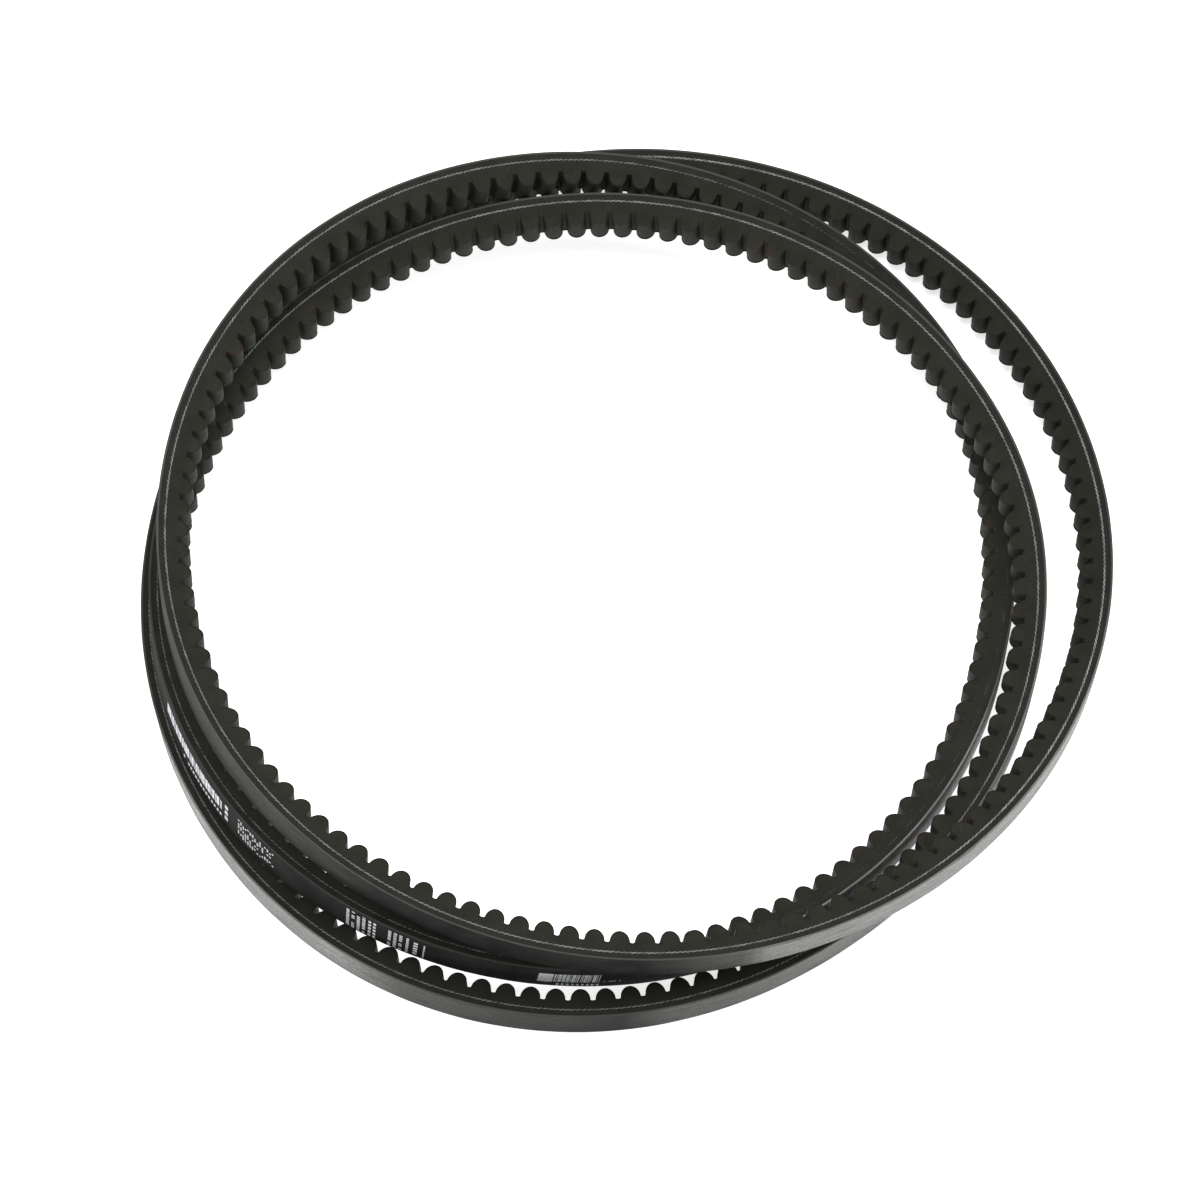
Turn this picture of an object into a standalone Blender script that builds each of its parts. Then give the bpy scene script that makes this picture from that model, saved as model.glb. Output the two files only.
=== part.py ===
"""Raw-edge moulded-cog V-belt, endless, lying on its flank in a coil of three turns.

Metres, +Z up. The belt is a bonded stack of plies. Each ply is a two-cog length of its
section, repeated by an Array and bent round the same closed route by a Curve modifier. The
origin is at the middle of the coil's footprint, on the surface that the belt lies on.
"""
import math

import bmesh
import bpy
from mathutils import Vector

MM = 0.001

# Belt section: classical cogged B (17) section
TOP_WIDTH = 16.5 * MM
HEIGHT = 11.0 * MM
FLANK_ANGLE = math.radians(20.0)
CORD_DEPTH = 2.8 * MM          # from the back of the belt to the middle of the cord

# Moulded cogs on the inner side
COGS = 342
COG_DEPTH = 4.1 * MM
COG_ROOT_FRACTION = 0.20       # share of one pitch taken by the valley between two cogs
COG_ARC_STEPS = 4
COGS_PER_SEGMENT = 2           # length of the repeated segment that every ply is made from

# Plies, as depths from the back. Neighbours keep a small parallel gap
PLY_GAP = 0.15 * MM
FABRIC_END = 0.65 * MM
TENSION_END = 1.45 * MM
UPPER_GUM_END = 2.15 * MM
CORD_END = 3.45 * MM
LOWER_GUM_END = 4.25 * MM

# Route of the cord line: three turns, clockwise seen from above, starting at +X.
# One station every 30 degrees: radius in millimetres, height of the section's lowest corner
# in layers above the surface, and how many degrees the section's top leans outward.
# The stations steer a smooth closed cubic B-spline.
STATIONS_PER_TURN = 12
ROUTE = [
    (164, 0.35, 0), (159, 0.92, 3), (152.5, 1.1, 6.5), (147.7, 1.25, 7.2),
    (150.1, 1.91, 2.1), (151.1, 2.14, -3.7), (151.7, 1.91, -2.7), (154.5, 2, 1),
    (155.5, 1.55, 0), (153.5, 1, 0), (150.8, 0.2, 0), (140.4, 0, 0),
    (129.7, 0, 0), (131, 0, 0), (137, 0, 2.1), (145.2, 0.25, 5.9),
    (155.8, 0.96, 0.9), (159.4, 1.15, -8.8), (156.2, 0.97, -2.3), (148.5, 0.9, 0),
    (145, 0.62, 0), (139.5, 0.7, 0), (134.5, 1, 0), (133.5, 1.15, 0),
    (139.8, 1.16, 0), (145, 0.22, 1.5), (148.4, 0, 5), (160.2, 0, 5.3),
    (165.5, 0, 1.3), (163.1, 0, 2.5), (159.1, 0, 0), (157.2, 0, 0),
    (162, 0, 0), (166.5, 0, 0), (169, 0, 0), (168, 0.05, 0),
]
LAYER_HEIGHT = TOP_WIDTH + 0.5 * MM
ROUTE_POINTS = 720
ROUTE_SHIFT = Vector((-2.21, -2.91, 0.0)) * MM     # brings the coil's middle to the origin

# Merging of the plies' repeated segments, before and after they are bent into a ring
REPEAT_MERGE = 0.01 * MM
RING_MERGE = 0.1 * MM

RUBBER_BLACK = (0.028, 0.029, 0.026, 1.0)
FABRIC_BLACK = (0.022, 0.022, 0.023, 1.0)
GUM_GREY = (0.045, 0.045, 0.042, 1.0)
CORD_GREY = (0.50, 0.52, 0.50, 1.0)


def clear_scene():
    for obj in list(bpy.data.objects):
        bpy.data.objects.remove(obj, do_unlink=True)


def half_width(depth):
    """Half the section's width at a depth from the back."""
    return TOP_WIDTH / 2 - depth * math.tan(FLANK_ANGLE)


def spline_value(values, position):
    """Uniform cubic B-spline through a closed list, at a position counted in stations."""
    count = len(values)
    first = math.floor(position)
    t = position - first
    before, here, after, beyond = (values[(first + k) % count] for k in (-1, 0, 1, 2))
    return ((1 - t) ** 3 * before + (3 * t**3 - 6 * t**2 + 4) * here
            + (-3 * t**3 + 3 * t**2 + 3 * t + 1) * after + t**3 * beyond) / 6


def foot_depth(lean):
    """How far the lowest corner of a leaning section lies below its middle at the cord."""
    return max(half_width(depth) * math.cos(lean) + (CORD_DEPTH - depth) * math.sin(lean)
               for depth in (0.0, HEIGHT))


def route_point(fraction):
    """Point of the cord line and the section's lean, at a fraction of the closed route."""
    position = fraction * len(ROUTE)
    angle = -math.tau * position / STATIONS_PER_TURN
    radius, level, lean = (spline_value(values, position) for values in zip(*ROUTE))
    radius *= MM
    lean = math.radians(lean)
    height = foot_depth(lean) + level * LAYER_HEIGHT
    point = Vector((radius * math.cos(angle), radius * math.sin(angle), height))
    return ROUTE_SHIFT + point, lean


def route_curve(collection):
    """The closed guide curve that every ply is bent round."""
    data = bpy.data.curves.new("belt_route", "CURVE")
    data.dimensions = "3D"
    data.twist_mode = "Z_UP"
    data.use_stretch = True
    data.use_deform_bounds = True
    data.resolution_u = 1
    spline = data.splines.new("POLY")
    spline.points.add(ROUTE_POINTS - 1)
    for index, point in enumerate(spline.points):
        place, lean = route_point(index / ROUTE_POINTS)
        point.co = (*place, 1.0)
        point.tilt = -lean
    spline.use_cyclic_u = True
    guide = bpy.data.objects.new("belt_route", data)
    guide.hide_render = True
    guide.display_type = "WIRE"
    collection.objects.link(guide)
    return guide


def route_length():
    points = [route_point(index / ROUTE_POINTS)[0] for index in range(ROUTE_POINTS)]
    return sum((points[index] - points[index - 1]).length for index in range(ROUTE_POINTS))


def material(name, colour, roughness):
    mat = bpy.data.materials.new(name)
    mat.use_nodes = True
    shader = mat.node_tree.nodes["Principled BSDF"]
    shader.inputs["Base Color"].default_value = colour
    shader.inputs["Roughness"].default_value = roughness
    shader.inputs["Metallic"].default_value = 0.0
    return mat


def flat_outline(depth, length):
    """Lower edge of a smooth ply's segment."""
    return [(0.0, depth), (length, depth)]


def cog_outline(length):
    """Lower edge of the cogged ply's segment: each cog is a round top between half valleys."""
    pitch = length / COGS_PER_SEGMENT
    reach = pitch * (1 - COG_ROOT_FRACTION) / 2
    root_depth = HEIGHT - COG_DEPTH
    outline = [(0.0, root_depth)]
    for cog in range(COGS_PER_SEGMENT):
        middle = pitch * (cog + 0.5)
        for step in range(COG_ARC_STEPS + 1):
            angle = math.pi * step / COG_ARC_STEPS
            depth = root_depth + COG_DEPTH * math.sin(angle)
            outline.append((middle - reach * math.cos(angle), depth))
    outline.append((length, root_depth))
    return outline


def ply_segment(name, top_depth, lower_outline):
    """A segment of a ply, open at both ends. X runs along the belt, Y out to its back."""
    mesh = bmesh.new()
    length = lower_outline[-1][0]
    flanks = []
    for side in (-1, 1):
        ring = [(0.0, top_depth), *lower_outline, (length, top_depth)]
        flanks.append([mesh.verts.new((x, CORD_DEPTH - depth, side * half_width(depth)))
                       for x, depth in ring])
    lower, upper = flanks
    mesh.faces.new(upper)
    mesh.faces.new(reversed(lower))
    walls = [mesh.faces.new((lower[index], lower[index + 1], upper[index + 1], upper[index]))
             for index in range(1, len(lower) - 2)]
    walls.append(mesh.faces.new((lower[0], upper[0], upper[-1], lower[-1])))
    # Every wall splits along the same diagonal, so plies that touch still fit when they twist
    bmesh.ops.triangulate(mesh, faces=walls, quad_method="FIXED")
    data = bpy.data.meshes.new(name)
    mesh.to_mesh(data)
    mesh.free()
    return data


def add_ply(name, top_depth, lower_outline, guide, mat, collection):
    """A whole closed ply: its segment repeated, bent round the route and welded."""
    data = ply_segment(name, top_depth, lower_outline)
    data.materials.append(mat)
    ply = bpy.data.objects.new(name, data)
    collection.objects.link(ply)

    repeat = ply.modifiers.new("repeat", "ARRAY")
    repeat.fit_type = "FIXED_COUNT"
    repeat.count = COGS // COGS_PER_SEGMENT
    repeat.use_relative_offset = False
    repeat.use_constant_offset = True
    repeat.constant_offset_displace = (lower_outline[-1][0], 0.0, 0.0)
    repeat.use_merge_vertices = True
    repeat.merge_threshold = REPEAT_MERGE

    bend = ply.modifiers.new("bend", "CURVE")
    bend.object = guide
    bend.deform_axis = "POS_X"

    close = ply.modifiers.new("close", "WELD")
    close.merge_threshold = RING_MERGE


def build():
    clear_scene()
    belt = bpy.data.collections.new("v_belt")
    guides = bpy.data.collections.new("guides")
    bpy.context.scene.collection.children.link(belt)
    bpy.context.scene.collection.children.link(guides)
    guide = route_curve(guides)
    length = route_length() / COGS * COGS_PER_SEGMENT

    fabric = material("fabric", FABRIC_BLACK, 0.55)
    rubber = material("rubber", RUBBER_BLACK, 0.75)
    gum = material("gum", GUM_GREY, 0.8)
    cord = material("cord", CORD_GREY, 0.7)

    layers = [
        ("back_fabric", 0.0, FABRIC_END, fabric),
        ("tension_rubber", FABRIC_END + PLY_GAP, TENSION_END, rubber),
        ("upper_adhesion_gum", TENSION_END + PLY_GAP, UPPER_GUM_END, gum),
        ("tensile_cord", UPPER_GUM_END + PLY_GAP, CORD_END, cord),
        ("lower_adhesion_gum", CORD_END + PLY_GAP, LOWER_GUM_END, gum),
    ]
    for name, start, end, mat in layers:
        add_ply(name, start, flat_outline(end, length), guide, mat, belt)
    add_ply("cogged_compression_rubber", LOWER_GUM_END + PLY_GAP, cog_outline(length),
            guide, rubber, belt)


build()
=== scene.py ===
"""Looks of the coiled raw-edge cogged V-belt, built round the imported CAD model.

Metres, +Z up, in the CAD model's frame. Each ply of the belt is a sweep of its section along
the same closed route that the CAD plies follow, with the fine shape that the CAD leaves out:
rounded cog edges, the twisted strand cut open along each flank, the fabric's relief and the
printed marks on the back.
"""
import math

import bpy
import numpy as np
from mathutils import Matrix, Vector

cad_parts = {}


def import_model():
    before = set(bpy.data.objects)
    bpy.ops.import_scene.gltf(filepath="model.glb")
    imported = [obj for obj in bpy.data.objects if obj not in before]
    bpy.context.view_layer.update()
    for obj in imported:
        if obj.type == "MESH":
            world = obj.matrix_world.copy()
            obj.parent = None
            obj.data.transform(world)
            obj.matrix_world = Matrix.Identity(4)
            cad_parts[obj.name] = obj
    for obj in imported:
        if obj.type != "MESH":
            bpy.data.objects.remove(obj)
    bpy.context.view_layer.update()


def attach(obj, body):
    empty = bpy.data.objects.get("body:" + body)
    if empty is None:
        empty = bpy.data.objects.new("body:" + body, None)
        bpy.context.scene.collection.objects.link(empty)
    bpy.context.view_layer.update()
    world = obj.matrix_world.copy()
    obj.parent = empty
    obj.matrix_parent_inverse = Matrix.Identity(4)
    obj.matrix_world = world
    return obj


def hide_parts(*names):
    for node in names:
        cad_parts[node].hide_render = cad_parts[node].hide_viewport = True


MM = 0.001

# Belt section, the same as in the CAD model. Depths are measured from the back
TOP_WIDTH = 16.5 * MM
HEIGHT = 11.0 * MM
FLANK_SLOPE = math.tan(math.radians(20.0))
CORD_DEPTH = 2.8 * MM
FABRIC_END = 0.75 * MM
TENSION_END = 1.6 * MM
LOWER_GUM_END = 4.3 * MM

# Moulded cogs
COGS = 342
COG_DEPTH = 4.1 * MM
COG_ROOT_FRACTION = 0.20       # share of the pitch that the valley takes
COG_STEPS = 14
COG_EDGE = 0.30 * MM
COG_TIP_SPREAD = 0.05 * MM
VALLEY_STEPS = 4
VALLEY_DIP = 0.32 * MM

# Back fabric
BACK_CORNER = 0.28 * MM
RIB_DEPTH = 0.045 * MM
RIBS = 11

# Cut edges of the smooth plies
SEAM_DEPTH = 0.035 * MM
SEAM_LIP = 0.09 * MM

# Cord: the strand laid open along each flank, and the windings side by side inside
STRAND_SPACING = 0.30 * MM
STRAND_RADIUS = 0.48 * MM
STRAND_LAY = 5.4 * MM
STRAND_PLIES = 3
STRAND_POINTS = 9
STRAND_GROOVE = 0.30           # share of the radius that the grooves between its plies take
STRAND_SINK = 0.46 * MM        # how far its middle lies below the flank where it is least bare
STRAND_RISE = 0.22 * MM        # how much nearer it comes where it is most bare
CORDS = 9
CORD_RADIUS = 0.42 * MM
CORD_SWELL = 0.12 * MM
CORE_INSET = 1.3 * MM

# Printed marks, which stand this far out of the back and reach this far into it
INK_PROUD = 0.02 * MM
INK_BURIED = 0.05 * MM

# Camera, placed from the route's own centre, before ROUTE_SHIFT
CAMERA_PLACE = (-0.0069, -0.6660, 1.2995)
CAMERA_TILT = math.radians(27.0)
CAMERA_LENS = 127.7

FLOOR_REACH = 3.0
FLOOR_DROP = 0.2 * MM          # keeps the floor clear of the faces that lie on it

# Route of the cord line, the same stations as in the CAD model: three turns, clockwise from
# +X seen from above, one station every 30 degrees. Radius in millimetres, height of the
# section's lowest corner in layers above the surface, and the lean of its top outward, in degrees
STATIONS_PER_TURN = 12
ROUTE = [
    (164, 0.35, 0), (159, 0.92, 3), (152.5, 1.1, 6.5), (147.7, 1.25, 7.2),
    (150.1, 1.91, 2.1), (151.1, 2.14, -3.7), (151.7, 1.91, -2.7), (154.5, 2, 1),
    (155.5, 1.55, 0), (153.5, 1, 0), (150.8, 0.2, 0), (140.4, 0, 0),
    (129.7, 0, 0), (131, 0, 0), (137, 0, 2.1), (145.2, 0.25, 5.9),
    (155.8, 0.96, 0.9), (159.4, 1.15, -8.8), (156.2, 0.97, -2.3), (148.5, 0.9, 0),
    (145, 0.62, 0), (139.5, 0.7, 0), (134.5, 1, 0), (133.5, 1.15, 0),
    (139.8, 1.16, 0), (145, 0.22, 1.5), (148.4, 0, 5), (160.2, 0, 5.3),
    (165.5, 0, 1.3), (163.1, 0, 2.5), (159.1, 0, 0), (157.2, 0, 0),
    (162, 0, 0), (166.5, 0, 0), (169, 0, 0), (168, 0.05, 0),
]
LAYER_HEIGHT = TOP_WIDTH + 0.5 * MM
ROUTE_SHIFT = np.array((-2.21, -2.91, 0.0)) * MM
ROUTE_SAMPLES = 7200

SMOOTH_RINGS = COGS * 5        # rings of a ply that has no cogs
SHARP_ANGLE = math.radians(38)  # corners sharper than this aren't shaded smooth

# How far the strand stands out of the cut flank, as (station, share): at 0 the rubber all but
# covers it, at 1 a quarter of its thickness stands out
STRAND_BARE = [(0.0, 1.0), (1.2, 1.0), (1.7, 0.6), (8.6, 0.55), (10.2, 0.0), (14.4, 0.0),
               (15.6, 0.3), (18.0, 0.35), (19.0, 0.65), (24.0, 0.65), (26.0, 0.45), (29.0, 0.45),
               (33.0, 1.0)]

# How far the back is made pale, as (station, share): 0 is dark, 1 is palest. The pale stretches are
# partly wear rubbed pale and partly painted light, on the backs that face the side lights
BACK_WEAR_AND_PAINTED_LIGHT = [(0.0, 0.3), (0.4, 1.0), (2.4, 0.9), (2.9, 0.0), (4.0, 0.0), (4.5, 0.4),
             (5.7, 0.4), (6.6, 0.1), (12.4, 0.1), (12.9, 1.0), (14.3, 1.0), (14.8, 0.1),
             (15.0, 0.0), (18.0, 0.0), (24.0, 0.2), (24.4, 0.9), (25.6, 0.9), (26.8, 0.7),
             (27.0, 0.1), (27.5, 0.35), (27.8, 0.65), (28.1, 0.92), (29.2, 1.0), (29.6, 0.2)]


# ---------------------------------------------------------------- route

def spline(values, position):
    """Uniform cubic B-spline steered by a closed list, at positions counted in stations."""
    first = np.floor(position).astype(int)
    t = position - first
    before, here, after, beyond = (values[(first + k) % len(values)] for k in (-1, 0, 1, 2))
    return ((1 - t) ** 3 * before + (3 * t**3 - 6 * t**2 + 4) * here
            + (-3 * t**3 + 3 * t**2 + 3 * t + 1) * after + t**3 * beyond) / 6


def half_width(depth):
    """Half the section's width at a depth from the back."""
    return TOP_WIDTH / 2 - depth * FLANK_SLOPE


def lean_at(position):
    """How far the section's top leans outward, in radians, at positions counted in stations."""
    return np.radians(spline(np.array(ROUTE)[:, 2], position))


def route_points(position):
    """Points of the cord line at positions counted in stations."""
    stations = np.array(ROUTE)
    angle = -math.tau * position / STATIONS_PER_TURN
    radius = spline(stations[:, 0], position) * MM
    lean = lean_at(position)
    foot_depth = np.maximum(*(half_width(depth) * np.cos(lean) + (CORD_DEPTH - depth) * np.sin(lean)
                              for depth in (0.0, HEIGHT)))
    height = foot_depth + spline(stations[:, 1], position) * LAYER_HEIGHT
    flat = np.stack((radius * np.cos(angle), radius * np.sin(angle), height), axis=-1)
    return flat + ROUTE_SHIFT


SAMPLE_POSITIONS = np.linspace(0, len(ROUTE), ROUTE_SAMPLES + 1)
SAMPLE_STEPS = np.linalg.norm(np.diff(route_points(SAMPLE_POSITIONS), axis=0), axis=1)
SAMPLE_LENGTHS = np.concatenate(([0.0], np.cumsum(SAMPLE_STEPS)))
LENGTH = SAMPLE_LENGTHS[-1]
PITCH = LENGTH / COGS


def station_at(distance):
    """Station position at a distance along the cord line."""
    return np.interp(np.mod(distance, LENGTH), SAMPLE_LENGTHS, SAMPLE_POSITIONS)


def distance_at(station):
    """Distance along the cord line at a station position."""
    return np.interp(station, SAMPLE_POSITIONS, SAMPLE_LENGTHS)


def route_frame(distance):
    """Centre, outward and upward directions of the section at distances along the belt."""
    probe = 0.5 * MM
    centre = route_points(station_at(distance))
    ahead = route_points(station_at(distance + probe))
    behind = route_points(station_at(distance - probe))
    tangent = ahead - behind
    tangent /= np.linalg.norm(tangent, axis=-1, keepdims=True)
    outward = np.cross((0.0, 0.0, 1.0), tangent)
    outward /= np.linalg.norm(outward, axis=-1, keepdims=True)
    upward = np.cross(tangent, outward)
    lean = lean_at(station_at(distance))[:, None]
    leaning_out = outward * np.cos(lean) - upward * np.sin(lean)
    leaning_up = upward * np.cos(lean) + outward * np.sin(lean)
    return centre, leaning_out, leaning_up


def along_belt(profile, distance):
    """A profile given as (station, value) pairs, read at distances along the belt."""
    stations, values = np.array(profile).T
    return np.interp(station_at(distance), stations, values, period=len(ROUTE))


# ---------------------------------------------------------------- meshes

def mesh_object(name, points, faces, loop_uvs=None, attributes=None):
    """A mesh piece that rides with the belt, shaded smooth but for its sharp corners."""
    mesh = bpy.data.meshes.new(name)
    mesh.from_pydata(points.tolist(), [], faces.tolist())
    if loop_uvs is not None:
        layer = mesh.uv_layers.new(name="along_across")
        layer.data.foreach_set("uv", loop_uvs.astype(np.float32).ravel())
    for key, values in (attributes or {}).items():
        layer = mesh.attributes.new(key, "FLOAT", "POINT")
        layer.data.foreach_set("value", values.astype(np.float32).ravel())
    mesh.shade_smooth()
    mesh.set_sharp_from_angle(angle=SHARP_ANGLE)
    piece = bpy.data.objects.new(name, mesh)
    bpy.context.scene.collection.objects.link(piece)
    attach(piece, "root")
    return piece


def sweep(name, distance, depth, side, attributes=None):
    """Closed ring of a section. depth and side hold one row of section points per ring."""
    rings, corners = depth.shape
    centre, outward, upward = route_frame(distance)
    points = (centre[:, None] + outward[:, None] * (CORD_DEPTH - depth)[..., None]
              + upward[:, None] * side[..., None])

    ring = np.arange(rings)[:, None]
    corner = np.arange(corners)[None, :]
    next_ring = (ring + 1) % rings
    next_corner = (corner + 1) % corners
    quads = np.stack((ring * corners + corner, ring * corners + next_corner,
                      next_ring * corners + next_corner, next_ring * corners + corner), axis=-1)

    steps = np.hypot(np.diff(depth, axis=1, append=depth[:, :1]),
                     np.diff(side, axis=1, append=side[:, :1]))
    across = np.concatenate((np.zeros((rings, 1)), np.cumsum(steps, axis=1)), axis=1)
    along = np.concatenate((distance, [distance[0] + LENGTH]))
    uv = np.empty((rings, corners, 4, 2))
    uv[:, :, 0, 0] = uv[:, :, 1, 0] = along[:-1, None]
    uv[:, :, 2, 0] = uv[:, :, 3, 0] = along[1:, None]
    uv[:, :, 0, 1] = across[:, :-1]
    uv[:, :, 1, 1] = across[:, 1:]
    after = np.roll(across, -1, axis=0)
    uv[:, :, 2, 1] = after[:, 1:]
    uv[:, :, 3, 1] = after[:, :-1]
    return mesh_object(name, points.reshape(-1, 3), quads.reshape(-1, 4), uv.reshape(-1, 2),
                       {key: np.broadcast_to(value, depth.shape)
                        for key, value in (attributes or {}).items()})


def wander(distance, waves, amplitude, seed):
    """A smooth closed wobble along the belt, the sum of a few whole waves."""
    source = np.random.default_rng(seed)
    total = np.zeros_like(distance)
    for count in waves:
        phase = source.uniform(0, math.tau)
        total += np.sin(math.tau * count * distance / LENGTH + phase)
    return amplitude * total / len(waves)


def repeated(section, rings):
    """Depths and sides of a section of (depth, side) points, copied for every ring."""
    section = np.array(section)
    shape = (rings, len(section))
    return np.broadcast_to(section[:, 0], shape).copy(), np.broadcast_to(section[:, 1], shape).copy()


def build_back_fabric():
    """The fabric on the back, with its shallow lengthwise ribs and rounded corners."""
    distance = np.arange(SMOOTH_RINGS) * LENGTH / SMOOTH_RINGS
    across = np.linspace(-1, 1, 4 * RIBS + 1)
    edge = half_width(0) - BACK_CORNER
    top = [(BACK_CORNER * (1 - math.sin(a)), edge + BACK_CORNER * math.cos(a) * 0.98)
           for a in np.radians((10, 35, 60, 82))]
    rows = [(FABRIC_END, half_width(FABRIC_END)), *top]
    rows += [(RIB_DEPTH * (0.5 - 0.5 * math.cos(math.tau * RIBS * (s + 1) / 2)), s * edge)
             for s in across[::-1]]
    rows += [(depth, -side) for depth, side in reversed(top)]
    rows += [(FABRIC_END, -half_width(FABRIC_END))]
    depth, side = repeated(rows, SMOOTH_RINGS)
    unevenness = 0.03 * MM
    depth[:, 1:-1] += wander(distance, (61, 97, 143), unevenness, 3)[:, None] + unevenness
    on_face = np.zeros(len(rows))
    on_face[3:-3] = 1.0
    # worn holds the back's pale stretches, partly wear and partly painted light
    worn = along_belt(BACK_WEAR_AND_PAINTED_LIGHT, distance)[:, None]
    return sweep("back_fabric_cover", distance, depth, side, {"on_face": on_face, "worn": worn})


def build_flank_ply(name, start, end, seed):
    """A smooth ply whose cut edges lie in the flanks, a hair below them at its seams."""
    distance = np.arange(SMOOTH_RINGS) * LENGTH / SMOOTH_RINGS
    upper = start + SEAM_LIP
    lower = end - SEAM_LIP
    rows = [(start, -half_width(start) + SEAM_DEPTH), (start, half_width(start) - SEAM_DEPTH),
            (upper, half_width(upper)), (lower, half_width(lower)),
            (end, half_width(end) - SEAM_DEPTH), (end, -half_width(end) + SEAM_DEPTH),
            (lower, -half_width(lower)), (upper, -half_width(upper))]
    depth, side = repeated(rows, SMOOTH_RINGS)
    side += np.sign(side) * wander(distance, (57, 89, 131), 0.012 * MM, seed)[:, None]
    return sweep(name, distance, depth, side)


def cog_rings():
    """Distances of the rings of the cogged ply, and the depth of its lower edge at each."""
    reach = PITCH * (1 - COG_ROOT_FRACTION) / 2
    root = HEIGHT - COG_DEPTH
    angles = math.pi * np.arange(COG_STEPS + 1) / COG_STEPS
    dome = np.stack((PITCH / 2 - reach * np.cos(angles), root + COG_DEPTH * np.sin(angles)), axis=1)
    valley_angles = math.pi * (np.arange(VALLEY_STEPS) + 1) / (VALLEY_STEPS + 1)
    width = PITCH * COG_ROOT_FRACTION / 2
    valley = np.stack((-width * np.cos(valley_angles), root - VALLEY_DIP * np.sin(valley_angles)),
                      axis=1)
    one = np.concatenate((valley, dome))
    distance = (np.arange(COGS)[:, None] * PITCH + one[:, 0]).ravel()
    tip_change = np.random.default_rng(17).normal(0, COG_TIP_SPREAD, COGS)[:, None]
    share = np.clip((one[:, 1] - root) / COG_DEPTH, 0, 1)
    lower = (one[:, 1] + tip_change * share).ravel()
    lower = np.minimum(lower, HEIGHT)
    return distance, lower


def build_cogged_rubber():
    """The compression rubber, with round-topped cogs whose edges are softly rounded."""
    distance, lower = cog_rings()
    start = LOWER_GUM_END
    rounding = [(COG_EDGE * (1 - math.cos(a)), COG_EDGE * (1 - math.sin(a)))
                for a in np.radians((0, 45, 90))]
    mid = (start + lower) / 2
    right = [(start, half_width(start)), (mid, half_width(mid))]
    right += [(lower - up, half_width(lower - up) - inset) for inset, up in rounding[::-1]]
    columns = right + [(lower, 0.35 * half_width(lower))]
    columns += [(depth, -side) for depth, side in reversed(columns)]
    depth = np.stack([np.broadcast_to(column[0], lower.shape) for column in columns], axis=1)
    side = np.stack([np.broadcast_to(column[1], lower.shape) for column in columns], axis=1)
    # The three columns of each rounded edge, and how much lighter each is made
    edge_marks = np.zeros(len(columns))
    edge_marks[[2, 3, 4, -5, -4, -3]] = (0.5, 1.0, 0.6, 0.6, 1.0, 0.5)
    moulded = np.zeros(len(columns))
    moulded[4:-4] = 1.0
    return sweep("cogged_rubber", distance, depth[:, ::-1], side[:, ::-1],
                 {"edge": edge_marks[::-1], "moulded": moulded[::-1]})


def build_strand(name, sign):
    """The twisted strand of the cord that the cut lays open along one flank."""
    rings = int(LENGTH / STRAND_SPACING)
    distance = np.arange(rings) * LENGTH / rings
    twists = round(LENGTH / STRAND_LAY)
    theta = math.tau * np.arange(STRAND_POINTS) / STRAND_POINTS
    turn = math.tau * twists * distance / LENGTH
    lobe = np.abs(np.cos(STRAND_PLIES / 2 * (theta[None, :] - turn[:, None])))
    ring_radius = STRAND_RADIUS * (1 - STRAND_GROOVE + STRAND_GROOVE * lobe)
    bare = along_belt(STRAND_BARE, distance)
    sink = STRAND_SINK - STRAND_RISE * bare + wander(distance, (211, 307, 401), 0.07 * MM, 11)
    depth = CORD_DEPTH + ring_radius * np.cos(theta)[None, :]
    side = half_width(CORD_DEPTH) - sink[:, None] + ring_radius * np.sin(theta)[None, :]
    if sign < 0:
        depth, side, lobe = depth[:, ::-1], -side[:, ::-1], lobe[:, ::-1]
    return sweep(name, distance, depth, side, {"bare": bare[:, None], "lobe": lobe})


def build_cord_core():
    """The windings of the cord inside the belt, as a row of cords side by side."""
    distance = np.arange(COGS * 2) * LENGTH / (COGS * 2)
    width = half_width(CORD_DEPTH) - CORE_INSET
    across = np.linspace(-1, 1, 4 * CORDS + 1)
    radius = CORD_RADIUS + CORD_SWELL * np.cos(math.tau * CORDS * (across + 1) / 2 + math.pi)
    upper = [(CORD_DEPTH - r, s * width) for s, r in zip(across[::-1], radius[::-1])]
    lower = [(CORD_DEPTH + r, s * width) for s, r in zip(across, radius)]
    depth, side = repeated(upper + lower, len(distance))
    return sweep("cord_windings", distance, depth, side)


# ---------------------------------------------------------------- printed marks

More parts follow.
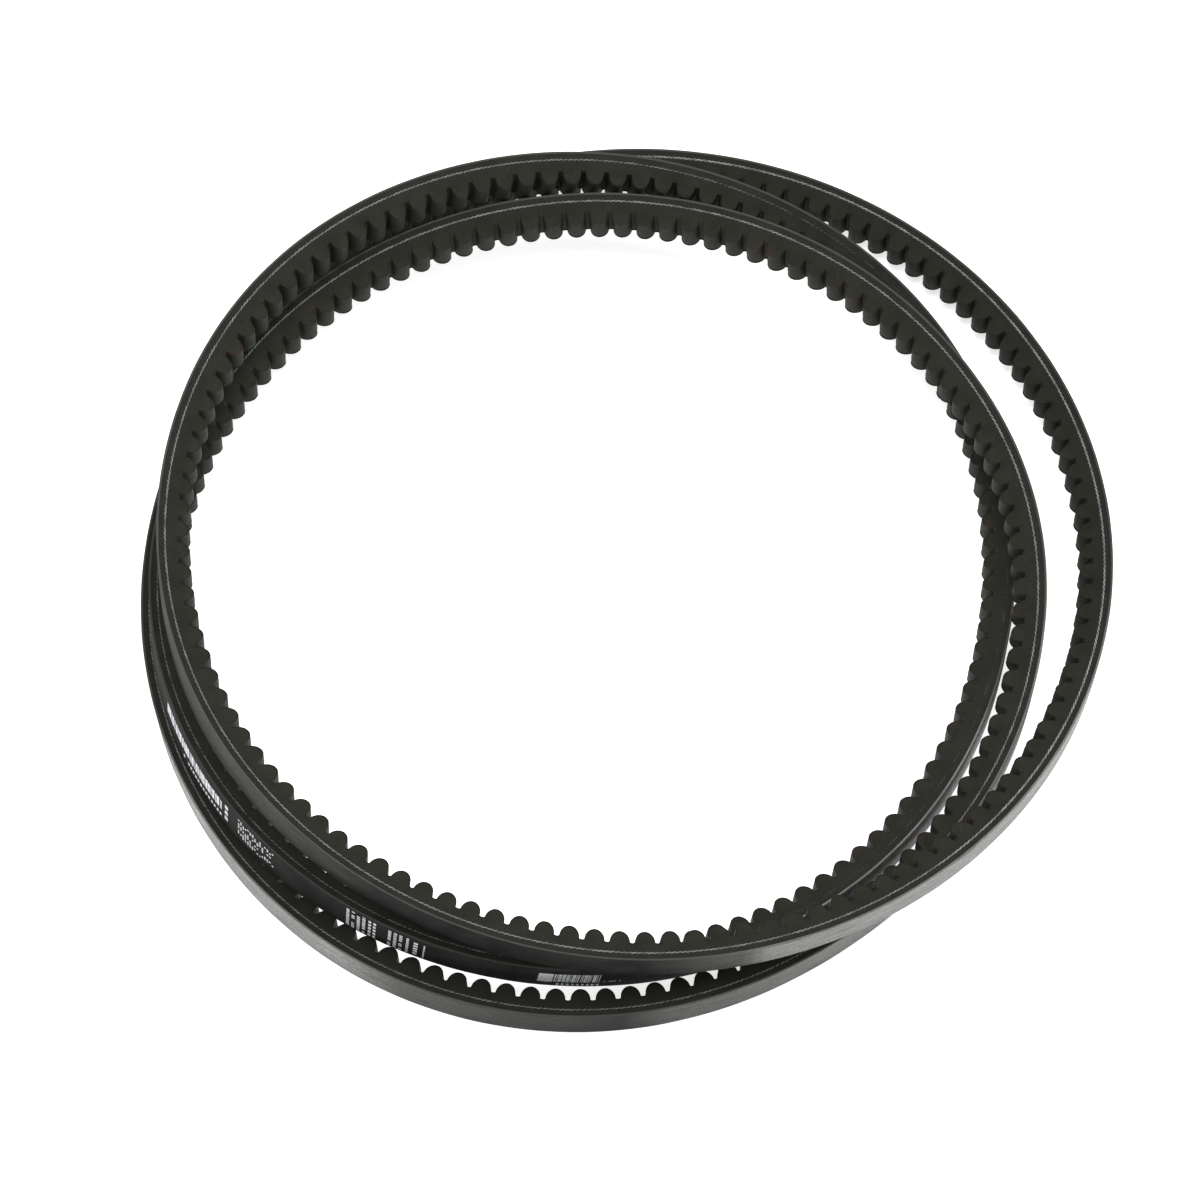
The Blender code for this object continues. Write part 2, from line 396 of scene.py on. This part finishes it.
def mark_cells():
    """The printed marks: start and end station, and start and end height across the back in mm.

    They are plain bars and blocks that say nothing: bar strips with rows of blocks beside them,
    and fields of short dashes.
    """
    cells = []

    def bars(first, last, low, high, count, seed):
        """A strip of bars one or two units wide, with gaps of one, two or four."""
        source = np.random.default_rng(seed)
        steps = np.stack((source.choice((1, 1, 2), count), source.choice((1, 2, 4), count)), axis=1)
        edges = np.cumsum(steps.ravel())
        edges = first + (last - first) * edges / edges[-1]
        cells.extend((edges[k], edges[k + 1], low, high) for k in range(0, 2 * count - 1, 2))

    def field(first, last, low, high, columns, rows, fill, seed):
        """Columns of short dashes, with the given share of their places filled."""
        source = np.random.default_rng(seed)
        wide = (last - first) / columns
        tall = (high - low) / rows
        for column in range(columns):
            for row in range(rows):
                if source.random() < fill:
                    cells.append((first + wide * (column + 0.20), first + wide * (column + 0.76),
                                  low + tall * (row + 0.20), low + tall * (row + 0.80)))

    cells.append((15.285, 15.345, 4.2, 12.0))
    bars(15.085, 15.28, 4.6, 12.0, 17, 5)
    field(15.085, 15.27, 0.7, 3.4, 9, 1, 1.0, 6)
    field(15.00, 15.075, 4.6, 5.8, 7, 1, 0.8, 7)

    field(15.897, 15.967, 1.0, 14.6, 3, 9, 0.86, 8)
    field(15.870, 15.890, 1.0, 14.6, 1, 9, 1.0, 9)
    field(15.830, 15.862, 1.8, 13.4, 1, 5, 1.0, 10)
    field(15.804, 15.816, 1.0, 13.4, 1, 8, 1.0, 11)
    field(16.055, 16.150, 1.0, 15.2, 4, 9, 0.92, 12)
    field(16.010, 16.052, 0.8, 15.0, 2, 5, 1.0, 13)

    field(16.50, 16.71, 3.2, 14.6, 15, 9, 0.5, 14)
    field(16.765, 16.80, 3.0, 14.2, 1, 3, 1.0, 15)
    bars(16.81, 17.30, 6.8, 12.6, 34, 16)
    field(16.81, 17.12, 2.0, 4.4, 15, 1, 0.9, 17)
    return cells


def build_print():
    """The ink: thin raised patches that follow the back."""
    points = []
    faces = []
    for first, last, low, high in mark_cells():
        start, end = distance_at(np.array((first, last)))
        spans = max(1, math.ceil((end - start) / (2 * MM)))
        base = len(points)
        distance = np.linspace(start, end, spans + 1)
        centre, outward, upward = route_frame(distance)
        for k in range(spans + 1):
            for depth in (-INK_PROUD, INK_BURIED):
                for height in (low, high):
                    side = height * MM - TOP_WIDTH / 2
                    points.append(centre[k] + outward[k] * (CORD_DEPTH - depth) + upward[k] * side)
        for k in range(spans):
            here = base + 4 * k
            there = here + 4
            for a, b in ((0, 1), (3, 2), (2, 0), (1, 3)):
                faces.append((here + a, here + b, there + b, there + a))
        last_ring = base + 4 * spans
        faces += [(base, base + 2, base + 3, base + 1),
                  (last_ring, last_ring + 1, last_ring + 3, last_ring + 2)]
    return mesh_object("printed_marks", np.array(points), np.array(faces))


# ---------------------------------------------------------------- materials

class Shader:
    """A new material's node tree, with short names for the nodes used here."""

    def __init__(self, name):
        self.material = bpy.data.materials.new(name)
        self.material.use_nodes = True
        self.tree = self.material.node_tree
        self.principled = self.tree.nodes["Principled BSDF"]

    def node(self, kind, **values):
        made = self.tree.nodes.new(kind)
        for key, value in values.items():
            setattr(made, key, value)
        return made

    def link(self, source, target):
        self.tree.links.new(source, target)

    def belt_coordinates(self, along_scale, across_scale):
        """Distance along and across the belt, each times its own scale."""
        uv = self.node("ShaderNodeUVMap", uv_map="along_across")
        mapping = self.node("ShaderNodeMapping")
        mapping.inputs["Scale"].default_value = (along_scale, across_scale, 1.0)
        self.link(uv.outputs["UV"], mapping.inputs["Vector"])
        return mapping.outputs["Vector"]

    def object_coordinates(self):
        return self.node("ShaderNodeTexCoord").outputs["Object"]

    def noise(self, vector, scale, detail=2.0, roughness=0.5):
        made = self.node("ShaderNodeTexNoise")
        made.inputs["Scale"].default_value = scale
        made.inputs["Detail"].default_value = detail
        made.inputs["Roughness"].default_value = roughness
        self.link(vector, made.inputs["Vector"])
        return made.outputs["Fac"]

    def attribute(self, name):
        return self.node("ShaderNodeAttribute", attribute_name=name).outputs["Fac"]

    def remap(self, value, low, high, to_low=0.0, to_high=1.0):
        made = self.node("ShaderNodeMapRange")
        self.link(value, made.inputs["Value"])
        made.inputs["From Min"].default_value = low
        made.inputs["From Max"].default_value = high
        made.inputs["To Min"].default_value = to_low
        made.inputs["To Max"].default_value = to_high
        return made.outputs["Result"]

    def math(self, operation, first, second):
        made = self.node("ShaderNodeMath", operation=operation)
        for index, value in enumerate((first, second)):
            if isinstance(value, (int, float)):
                made.inputs[index].default_value = value
            else:
                self.link(value, made.inputs[index])
        return made.outputs["Value"]

    def mix(self, factor, first, second):
        """Colour between first and second, each a colour or a socket."""
        made = self.node("ShaderNodeMix", data_type="RGBA")
        self.link(factor, made.inputs[0])
        for index, value in ((6, first), (7, second)):
            if isinstance(value, tuple):
                made.inputs[index].default_value = (*value, 1.0)
            else:
                self.link(value, made.inputs[index])
        return made.outputs[2]

    def bump(self, height, strength, distance):
        made = self.node("ShaderNodeBump")
        made.inputs["Strength"].default_value = strength
        made.inputs["Distance"].default_value = distance
        self.link(height, made.inputs["Height"])
        self.link(made.outputs["Normal"], self.principled.inputs["Normal"])

    def finish(self, colour, roughness, specular=0.5):
        self.link(colour, self.principled.inputs["Base Color"])
        if isinstance(roughness, (int, float)):
            self.principled.inputs["Roughness"].default_value = roughness
        else:
            self.link(roughness, self.principled.inputs["Roughness"])
        self.principled.inputs["Specular IOR Level"].default_value = specular
        return self.material


def cut_rubber(name, dark, light, with_cogs):
    """Raw-cut rubber: knife marks along the belt, cloudy tone and pale chopped fibres."""
    shader = Shader(name)
    place = shader.object_coordinates()
    clouds = shader.remap(shader.noise(place, 140.0, 3.0), 0.35, 0.65)
    colour = shader.mix(clouds, dark, light)
    marks = shader.noise(shader.belt_coordinates(120.0, 9000.0), 1.0, 3.0)
    grain = shader.noise(place, 2600.0, 3.0, 0.6)
    fleck = shader.remap(shader.noise(place, 1500.0, 1.0), 0.74, 0.80)
    colour = shader.mix(shader.math("MULTIPLY", fleck, 0.55), colour, (0.09, 0.09, 0.085))
    roughness = shader.remap(grain, 0.3, 0.7, 0.66, 0.88)
    if with_cogs:
        # The rounded cog edges are made lighter in colour
        edge = shader.math("MULTIPLY", shader.attribute("edge"), shader.remap(grain, 0.35, 0.7))
        colour = shader.mix(shader.math("MULTIPLY", edge, 0.22), colour, (0.10, 0.10, 0.09))
        rust = shader.remap(shader.noise(place, 95.0, 2.0), 0.60, 0.72)
        rust = shader.math("MULTIPLY", rust, shader.attribute("edge"))
        colour = shader.mix(shader.math("MULTIPLY", rust, 0.6), colour, (0.060, 0.022, 0.016))
        smoother = shader.math("MULTIPLY", shader.attribute("moulded"), 0.12)
        roughness = shader.math("SUBTRACT", roughness, smoother)
    relief = shader.math("ADD", marks, grain)
    shader.bump(relief, 0.35, 0.00006)
    return shader.finish(colour, roughness, 0.14)


def woven_back():
    """Rubberised woven fabric with lengthwise scuffs rubbed pale, and pale stretches that are partly
    wear and partly painted light.
    """
    shader = Shader("woven_back")
    threads = shader.belt_coordinates(1.0, 1.0)
    split = shader.node("ShaderNodeSeparateXYZ")
    shader.link(threads, split.inputs["Vector"])
    weft_spacing = 0.9 * MM
    warp_spacing = 0.7 * MM
    weft = shader.math("MULTIPLY", split.outputs["X"], math.tau / weft_spacing)
    weft = shader.math("SINE", weft, 0.0)
    warp = shader.math("MULTIPLY", split.outputs["Y"], math.tau / warp_spacing)
    warp = shader.math("SINE", warp, 0.0)
    weave = shader.math("MULTIPLY", weft, warp)
    place = shader.object_coordinates()
    grain = shader.noise(place, 2200.0, 3.0, 0.6)
    streaks = shader.noise(shader.belt_coordinates(60.0, 1600.0), 1.0, 4.0, 0.6)
    blotches = shader.noise(place, 75.0, 4.0, 0.6)
    scuff = shader.math("MULTIPLY", shader.remap(streaks, 0.42, 0.62),
                        shader.remap(blotches, 0.40, 0.62))
    scuff = shader.math("MULTIPLY", scuff, shader.attribute("on_face"))
    # worn: the back's pale stretches, partly wear and partly painted light on the backs that face the
    # side lights
    worn = shader.attribute("worn")
    base = shader.mix(shader.remap(blotches, 0.3, 0.7),
                      (0.009, 0.009, 0.009), (0.015, 0.015, 0.014))
    # The pale colour laid on below is partly wear and partly painted light
    wear_and_painted_light = shader.math("MULTIPLY", worn, shader.remap(streaks, 0.30, 0.62, 0.25, 1.0))
    wear_and_painted_light = shader.math("MULTIPLY", wear_and_painted_light, shader.remap(grain, 0.38, 0.56, 0.45, 1.0))
    pale = shader.mix(shader.remap(worn, 0.7, 1.0), (0.20, 0.20, 0.19), (0.50, 0.50, 0.49))
    colour = shader.mix(shader.math("MULTIPLY", wear_and_painted_light, 0.9), base, pale)
    colour = shader.mix(shader.math("MULTIPLY", scuff, 0.12), colour, (0.10, 0.10, 0.095))
    cut_edge = shader.math("SUBTRACT", 1.0, shader.attribute("on_face"))
    colour = shader.mix(shader.math("MULTIPLY", cut_edge, 0.6), colour, (0.085, 0.085, 0.08))
    shader.bump(shader.math("ADD", shader.math("MULTIPLY", weave, 0.35), grain), 0.5, 0.00006)
    roughness = shader.remap(streaks, 0.35, 0.65, 0.60, 0.80)
    return shader.finish(colour, roughness, 0.05)


def strand_fibre():
    """Pale treated cord, greyer where the rubber still covers it."""
    shader = Shader("strand_fibre")
    place = shader.object_coordinates()
    tone = shader.noise(place, 320.0, 3.0)
    colour = shader.mix(shader.remap(tone, 0.35, 0.65), (0.12, 0.125, 0.12), (0.32, 0.325, 0.315))
    lobe = shader.remap(shader.attribute("lobe"), 0.25, 0.85)
    colour = shader.mix(lobe, (0.030, 0.030, 0.028), colour)
    bare = shader.remap(shader.attribute("bare"), 0.0, 0.9)
    colour = shader.mix(bare, (0.030, 0.030, 0.027), colour)
    fibres = shader.noise(shader.belt_coordinates(900.0, 6000.0), 1.0, 2.0)
    shader.bump(fibres, 0.4, 0.00005)
    return shader.finish(colour, 0.6, 0.4)


def print_ink():
    """White ink, thin in places."""
    shader = Shader("print_ink")
    worn = shader.remap(shader.noise(shader.object_coordinates(), 900.0, 3.0), 0.5, 0.7)
    colour = shader.mix(worn, (0.60, 0.62, 0.64), (0.25, 0.26, 0.27))
    return shader.finish(colour, 0.55, 0.4)


def assign(piece, material, slot, *nodes):
    """Give a piece its material, and hide the CAD nodes that it stands in for."""
    piece.data.materials.append(material)
    if nodes:
        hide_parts(*nodes)


# ---------------------------------------------------------------- stage

def build_camera():
    """A long lens in front of the coil, looking down at it."""
    camera = bpy.data.objects.new("camera", bpy.data.cameras.new("camera"))
    camera.data.lens = CAMERA_LENS
    camera.data.sensor_width = 36.0
    camera.data.clip_end = 20.0
    camera.location = Vector(CAMERA_PLACE) + Vector(ROUTE_SHIFT)
    camera.rotation_euler = (CAMERA_TILT, 0.0, 0.0)
    bpy.context.scene.collection.objects.link(camera)
    bpy.context.scene.camera = camera


def build_floor():
    """A wide white floor that glows a little, so that it reads as white paper."""
    mesh = bpy.data.meshes.new("floor")
    corners = [(x * FLOOR_REACH, y * FLOOR_REACH, 0.0) for x, y in ((-1, -1), (1, -1), (1, 1), (-1, 1))]
    mesh.from_pydata(corners, [], [(0, 1, 2, 3)])
    floor = bpy.data.objects.new("floor", mesh)
    floor.location.z = -FLOOR_DROP
    bpy.context.scene.collection.objects.link(floor)
    material = bpy.data.materials.new("floor_white")
    material.use_nodes = True
    shader = material.node_tree.nodes["Principled BSDF"]
    shader.inputs["Base Color"].default_value = (0.9, 0.9, 0.9, 1.0)
    shader.inputs["Roughness"].default_value = 0.9
    shader.inputs["Specular IOR Level"].default_value = 0.1
    shader.inputs["Emission Color"].default_value = (1.0, 1.0, 1.0, 1.0)
    shader.inputs["Emission Strength"].default_value = 0.7
    mesh.materials.append(material)


def area_light(name, place, target, width, height, watts):
    """A rectangular light at a place, turned to face the target."""
    data = bpy.data.lights.new(name, "AREA")
    data.shape = "RECTANGLE"
    data.size = width
    data.size_y = height
    data.energy = watts
    light = bpy.data.objects.new(name, data)
    light.location = place
    light.rotation_euler = (Vector(target) - Vector(place)).to_track_quat("-Z", "Y").to_euler()
    bpy.context.scene.collection.objects.link(light)


def build_light():
    """A bright white room, a large light overhead and two weak ones low at the sides."""
    world = bpy.data.worlds.new("studio")
    world.use_nodes = True
    background = world.node_tree.nodes["Background"]
    background.inputs["Color"].default_value = (1.0, 1.0, 1.0, 1.0)
    background.inputs["Strength"].default_value = 0.6
    bpy.context.scene.world = world
    area_light("overhead", (0.0, 0.3, 1.9), (0.0, 0.0, 0.0), 1.8, 1.2, 32.0)
    area_light("right_side", (1.3, -0.1, 0.30), (0.0, 0.0, 0.0), 1.0, 0.5, 8.0)
    area_light("left_side", (-1.3, -0.3, 0.30), (0.0, 0.0, 0.0), 1.0, 0.5, 5.0)
    bpy.context.scene.view_settings.view_transform = "Standard"


def main():
    """Build every piece round the loaded frame."""
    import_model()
    build_camera()

    dark_olive = (0.0135, 0.0140, 0.0095)
    grey_olive = (0.0185, 0.0190, 0.0135)
    flank = cut_rubber("cut_rubber", dark_olive, grey_olive, False)
    cogs = cut_rubber("cog_rubber", dark_olive, grey_olive, True)
    gum = cut_rubber("cut_gum", (0.0140, 0.0140, 0.0125), (0.0180, 0.0180, 0.0160), False)

    assign(build_back_fabric(), woven_back(), "back_fabric", "back_fabric")
    assign(build_flank_ply("tension_ply", FABRIC_END, TENSION_END, 21), flank, "belt_rubber",
           "tension_rubber")
    assign(build_flank_ply("upper_gum_ply", TENSION_END, CORD_DEPTH, 22), gum, "adhesion_gum",
           "upper_adhesion_gum")
    assign(build_flank_ply("lower_gum_ply", CORD_DEPTH, LOWER_GUM_END, 23), gum, "adhesion_gum",
           "lower_adhesion_gum")
    assign(build_cogged_rubber(), cogs, "belt_rubber", "cogged_compression_rubber")

    fibre = strand_fibre()
    assign(build_cord_core(), fibre, "cord", "tensile_cord")
    assign(build_strand("upper_flank_strand", 1), fibre, "cord")
    assign(build_strand("lower_flank_strand", -1), fibre, "cord")
    assign(build_print(), print_ink(), "back_fabric")

    build_floor()
    build_light()


main()
